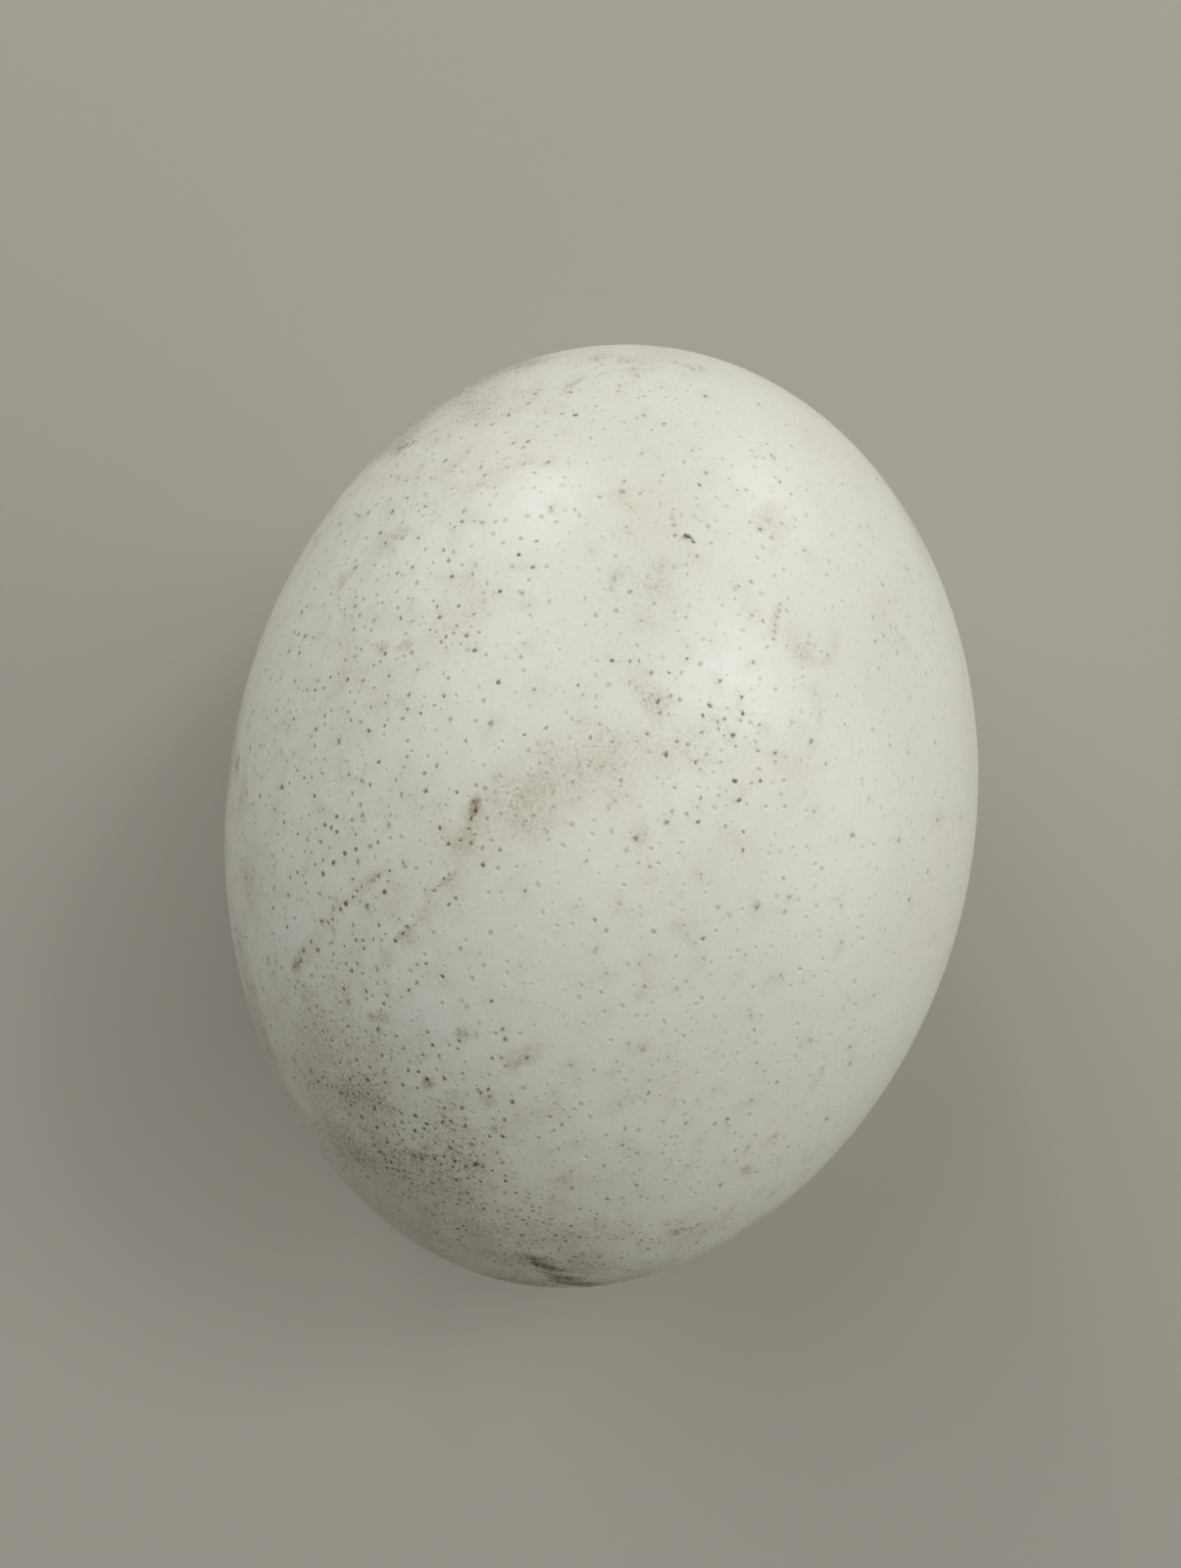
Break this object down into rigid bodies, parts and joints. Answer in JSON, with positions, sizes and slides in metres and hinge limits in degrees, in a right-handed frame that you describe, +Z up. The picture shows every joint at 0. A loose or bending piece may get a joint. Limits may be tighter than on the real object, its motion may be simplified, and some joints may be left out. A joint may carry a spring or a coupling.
{
  "type": "ostrich egg",
  "caption": "Whole ostrich egg lying on its side: thick ivory shell dotted with pores, blunt end and smaller end, on a small flat resting spot.",
  "frame": {"origin": "middle of the resting spot, on the surface that the egg lies on, under the egg's centre of mass", "axes": "+Z up; +Y along the egg's long axis towards its blunt end; +X across it"},
  "size_m": [0.1249, 0.1589, 0.1246],
  "materials": {
    "eggshell": "satin ivory eggshell, finely pitted, with brownish dirt in the pores and in smudges"
  },
  "bodies": {
    "root": {"ostrich_egg": "eggshell"}
  },
  "joints": []
}
